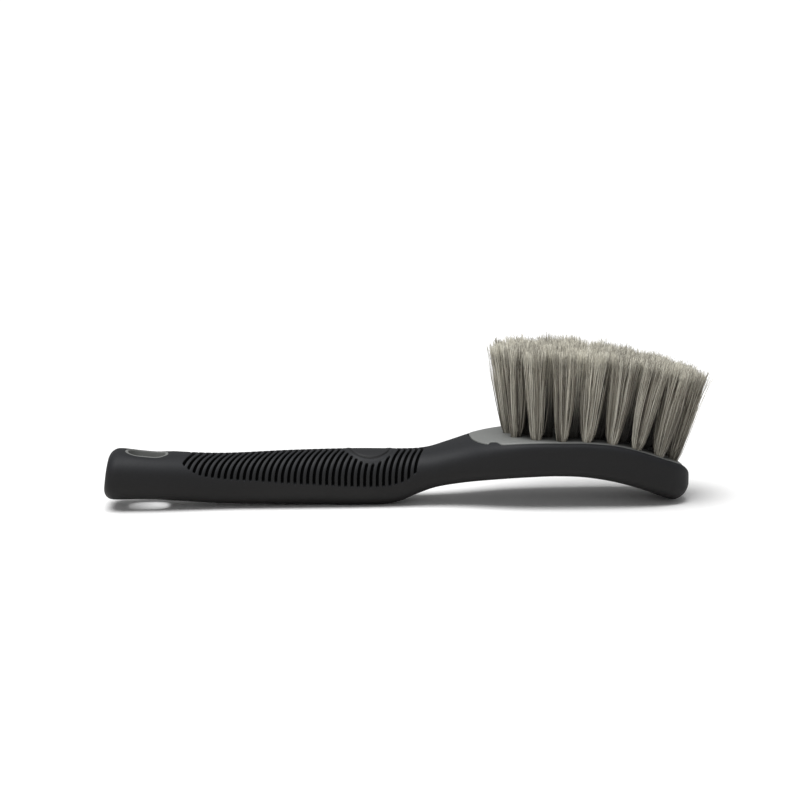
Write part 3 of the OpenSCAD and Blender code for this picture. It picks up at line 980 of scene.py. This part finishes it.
def drift_group():
    """Slow drifts of tone in a moulded or dyed surface, with finer specks on top."""
    tree, given, result = new_group(
        "tone_drift", [("Colour", "NodeSocketColor", (0.5, 0.5, 0.5, 1)), ("Size", "NodeSocketFloat", 30.0),
                       ("Drift", "NodeSocketFloat", 0.15), ("Specks", "NodeSocketFloat", 0.1)],
        [("Colour", "NodeSocketColor"), ("Mask", "NodeSocketFloat")])
    where = node(tree, "ShaderNodeTexCoord").outputs["Object"]
    slow = node(tree, "ShaderNodeTexNoise",
                {"Vector": where, "Scale": given.outputs["Size"], "Detail": 4.0})
    speck_size = maths(tree, "MULTIPLY", given.outputs["Size"], 40.0)
    specks = node(tree, "ShaderNodeTexNoise", {"Vector": where, "Scale": speck_size, "Detail": 2.0})
    parts = [maths(tree, "MULTIPLY", maths(tree, "SUBTRACT", noise.outputs[0], 0.5), given.outputs[key])
             for noise, key in ((slow, "Drift"), (specks, "Specks"))]
    gain = maths(tree, "ADD", 1.0, maths(tree, "MULTIPLY", maths(tree, "ADD", *parts), 2.0))
    scaled = node(tree, "ShaderNodeVectorMath", {0: given.outputs["Colour"]}, operation="SCALE")
    tree.links.new(gain, scaled.inputs["Scale"])
    tree.links.new(scaled.outputs[0], result.inputs["Colour"])
    tree.links.new(span(tree, slow.outputs[0], 0.35, 0.65, 0, 1), result.inputs["Mask"])
    return tree


GRAIN, DRIFT = grain_group(), drift_group()
print("groups", GRAIN.name, DRIFT.name)

# %% [markdown]
# ### Soft-touch rubber
# The skin is a black rubber with a dry, powdery surface. Painted light makes whatever faces up a faint
# grey, the sides and underside get a painted-shade black, and the grooves get painted shade and are rougher
# than the ribs between them. The groove number on each point drives that, and the pad number paints shade
# into the fine line pressed just inside the pad's edge.

# %% Rubber
def rubber():
    material, tree, shader = new_material("soft_touch_rubber")
    groove_share = carried(tree, "groove")
    pad = carried(tree, "pad")
    drift = placed(tree, DRIFT, {"Colour": (0.0126, 0.0135, 0.0156, 1), "Size": 26.0, "Drift": 0.3,
                                  "Specks": 0.25})
    # painted light and shade: faces that point up get the lighter colour, the sides and underside a darker
    # one
    facing = node(tree, "ShaderNodeSeparateXYZ", {0: node(tree, "ShaderNodeNewGeometry").outputs["Normal"]})
    painted_top_light = span(tree, facing.outputs[2], -0.35, 0.85, 0.0, 1.0)
    top_lit_colour = blend_colour(tree, painted_top_light, (0.0046, 0.0042, 0.004, 1), drift.outputs["Colour"])
    # painted shade: the grooves are darkened towards black by their depth
    deep = blend_colour(tree, maths(tree, "MULTIPLY", groove_share, 0.95), top_lit_colour,
                        (0.0008, 0.0008, 0.0009, 1))
    inside = span(tree, pad, -3.0, -2.4, 1, 0)
    lighter = blend_colour(tree, maths(tree, "MULTIPLY", inside, 0.6), deep, (0.015, 0.0153, 0.0166, 1))
    # painted shade: the fine line pressed just inside the pad's edge is darkened
    off_line = maths(tree, "ABSOLUTE", maths(tree, "SUBTRACT", pad, LINE_AT))
    line_painted_shade = blend_colour(tree, span(tree, off_line, 0.2, LINE_W, 0.8, 0), lighter,
                         (0.0012, 0.0012, 0.0013, 1))
    tree.links.new(line_painted_shade, shader.inputs["Base Color"])
    grain = placed(tree, GRAIN, {"Size": 2600.0, "Roughness": 0.65})
    rough = maths(tree, "MULTIPLY_ADD", drift.outputs["Mask"], 0.06, 0.56)
    rough = maths(tree, "MULTIPLY_ADD", groove_share, 0.25, rough)
    rough = maths(tree, "MULTIPLY_ADD", grain.outputs["Spots"], 0.05, rough)
    tree.links.new(rough, shader.inputs["Roughness"])
    grained(tree, shader, grain.outputs["Height"], 0.35, 0.05)
    glint = maths(tree, "MULTIPLY_ADD", groove_share, -0.22, 0.25)
    tree.links.new(glint, shader.inputs["Specular IOR Level"])
    return material


finish_with(skin, rubber())
print("rubber on", skin.name)

# %% [markdown]
# ### Satin plastic
# The core is a hard mid-grey plastic with a fine spark-eroded texture. Slow flow marks from moulding and a
# few fine scuffs break up its reflection. Hardly any light gets in between the tufts, so the colour is
# darker where the points are marked as being among them.

# %% Plastic
def satin_plastic():
    material, tree, shader = new_material("satin_grey_plastic")
    drift = placed(tree, DRIFT, {"Colour": (0.175, 0.18, 0.174, 1), "Size": 34.0, "Drift": 0.12,
                                  "Specks": 0.12})
    among = carried(tree, "among")
    shaded = blend_colour(tree, maths(tree, "MULTIPLY", among, 0.85), drift.outputs["Colour"],
                          (0.012, 0.011, 0.01, 1))
    tree.links.new(shaded, shader.inputs["Base Color"])
    grain = placed(tree, GRAIN, {"Size": 3600.0, "Roughness": 0.55})
    where = node(tree, "ShaderNodeTexCoord").outputs["Object"]
    stretched = node(tree, "ShaderNodeMapping", {"Vector": where, "Rotation": (0, 0, 0.5),
                                                 "Scale": (60, 900, 300)})
    scuffs = node(tree, "ShaderNodeTexNoise", {"Vector": stretched.outputs[0], "Scale": 1.0, "Detail": 2.0})
    scuff = span(tree, scuffs.outputs[0], 0.62, 0.72, 0, 1)
    rough = maths(tree, "MULTIPLY_ADD", drift.outputs["Mask"], 0.08, 0.38)
    rough = maths(tree, "MULTIPLY_ADD", scuff, 0.12, rough)
    rough = maths(tree, "MULTIPLY_ADD", grain.outputs["Spots"], 0.06, rough)
    tree.links.new(rough, shader.inputs["Roughness"])
    grained(tree, shader, grain.outputs["Height"], 0.3, 0.04)
    shader.inputs["Specular IOR Level"].default_value = 0.45
    return material


finish_with(core, satin_plastic())
print("plastic on", core.name)

# %% [markdown]
# ### Bristle filament
# The filaments are an undyed grey-beige. Each strand has a tone of its own, from a few nearly brown ones
# to pale ones. The split ends scatter light, so they look paler and drier, and painted shade darkens the
# roots, most of all on the inner tufts, which stand in the shade of the others.

# %% Filament
def filament():
    material, tree, shader = new_material("bristle_filament")
    tone = carried(tree, "tone")
    along = carried(tree, "along")
    ramp = node(tree, "ShaderNodeValToRGB", {"Fac": tone})
    stops = [(0.0, (0.07, 0.058, 0.046, 1)), (0.3, (0.22, 0.199, 0.16, 1)), (0.55, (0.38, 0.353, 0.29, 1)),
             (0.8, (0.57, 0.54, 0.45, 1)), (1.0, (0.78, 0.75, 0.65, 1))]
    ramp.color_ramp.elements[0].position, ramp.color_ramp.elements[1].position = stops[0][0], stops[-1][0]
    for position, _ in stops[1:-1]:
        ramp.color_ramp.elements.new(position)
    for element, (_, colour) in zip(ramp.color_ramp.elements, stops):
        element.color = colour
    drift = placed(tree, DRIFT, {"Colour": ramp.outputs[0], "Size": 45.0, "Drift": 0.22, "Specks": 0.2})
    inner = carried(tree, "inner")
    # painted shade: the roots are darkened, most of all on the inner tufts
    depth = maths(tree, "MULTIPLY", span(tree, along, 0.15, 0.8, 1, 0),
                  maths(tree, "MULTIPLY_ADD", inner, 0.65, 0.3))
    root_shaded_colour = blend_colour(tree, depth, drift.outputs["Colour"], (0.01, 0.009, 0.008, 1))
    coloured = blend_colour(tree, span(tree, along, 0.75, 1.0, 0, 0.22), root_shaded_colour, (0.5, 0.5, 0.44, 1))
    tree.links.new(coloured, shader.inputs["Base Color"])
    tree.links.new(span(tree, along, 0.6, 1.0, 0.42, 0.7), shader.inputs["Roughness"])
    grain = placed(tree, GRAIN, {"Size": 5200.0, "Roughness": 0.5})
    grained(tree, shader, grain.outputs["Height"], 0.2, 0.02)
    shader.inputs["Specular IOR Level"].default_value = 0.4
    return material


bristle_finish = filament()
for piece in tufts:
    finish_with(piece, bristle_finish)
print("filament on", len(tufts), "tufts")

# %% [markdown]
# ### Drawn wire
# The staples are flat brass-coloured wire. Drawing leaves fine lines along it. The CAD solids are the right
# shape already, so they only get this finish.

# %% Wire
def drawn_wire():
    material, tree, shader = new_material("drawn_flat_wire")
    drift = placed(tree, DRIFT, {"Colour": (0.52, 0.42, 0.18, 1), "Size": 160.0, "Drift": 0.25,
                                  "Specks": 0.15})
    tree.links.new(drift.outputs["Colour"], shader.inputs["Base Color"])
    where = node(tree, "ShaderNodeTexCoord").outputs["Object"]
    lines = node(tree, "ShaderNodeMapping", {"Vector": where, "Scale": (9000, 200, 9000)})
    drawn = node(tree, "ShaderNodeTexNoise", {"Vector": lines.outputs[0], "Scale": 1.0, "Detail": 1.0})
    tree.links.new(maths(tree, "MULTIPLY_ADD", drawn.outputs[0], 0.25, 0.22), shader.inputs["Roughness"])
    grained(tree, shader, drawn.outputs[0], 0.3, 0.02)
    shader.inputs["Metallic"].default_value = 1.0
    return material


staples = frame["nodes"]["anchors"]
finish_with(staples, drawn_wire())
print("wire on", staples.name)

# %% [markdown]
# ## Floor and light
# The brush lies on a flat pale floor. A very broad light from above gives one soft shadow under it, and a
# small fill in front keeps the near side readable. The white all round is bright to the camera but lights
# the brush only a little, because an even light from every side would wash the black rubber out to grey.

# %% Floor
FLOOR_HALF = 6.0


def pale_floor():
    material, tree, shader = new_material("pale_floor")
    drift = placed(tree, DRIFT, {"Colour": (0.97, 0.97, 0.97, 1), "Size": 3.0, "Drift": 0.01,
                                  "Specks": 0.0})
    tree.links.new(drift.outputs["Colour"], shader.inputs["Base Color"])
    shader.inputs["Roughness"].default_value = 0.5
    shader.inputs["Specular IOR Level"].default_value = 0.1
    return material


floor = make("floor", np.array([[-1, -1, 0], [1, -1, 0], [1, 1, 0], [-1, 1, 0]]) * FLOOR_HALF / MM
             - [0, 0, 0.05], [[0, 1, 2, 3]])
finish_with(floor, pale_floor())

# %% Lights
SUN_STRENGTH, SUN_SPREAD, SUN_FROM = 3.35, math.radians(46), (-0.2, -0.16, 1)
FILL_AT, FILL_AIM, FILL_SIZE, FILL_WATTS = Vector((-0.5, -1.3, 0.6)), Vector((0, 0, 0.03)), (0.8, 0.6), 2
WORLD_LIGHT, WORLD_SEEN = 0.3, 1.1


def lamp(name, kind, direction, energy):
    """A light that shines on the brush from a direction."""
    made = bpy.data.objects.new(name, bpy.data.lights.new(name, kind))
    made.data.energy = energy
    made.rotation_euler = Vector(direction).to_track_quat("Z", "Y").to_euler()
    bpy.context.scene.collection.objects.link(made)
    return made


lamp("overhead_light", "SUN", SUN_FROM, SUN_STRENGTH).data.angle = SUN_SPREAD
fill = lamp("front_fill", "AREA", FILL_AT - FILL_AIM, FILL_WATTS)
fill.location = FILL_AT
fill.data.shape, (fill.data.size, fill.data.size_y) = "RECTANGLE", FILL_SIZE
world = bpy.data.worlds.new("white_room")
bpy.context.scene.world = world
world.use_nodes = True
room = world.node_tree
seen = node(room, "ShaderNodeLightPath").outputs["Is Camera Ray"]
background = room.nodes["Background"]
background.inputs["Color"].default_value = (1, 1, 1, 1)
strength = maths(room, "MULTIPLY_ADD", seen, WORLD_SEEN - WORLD_LIGHT, WORLD_LIGHT)
room.links.new(strength, background.inputs["Strength"])
bpy.context.scene.view_settings.view_transform = "Standard"

# %% [markdown]
# ## Finish
# The visual model must stay the CAD model's size.

# %% Finish
bpy.context.view_layer.update()
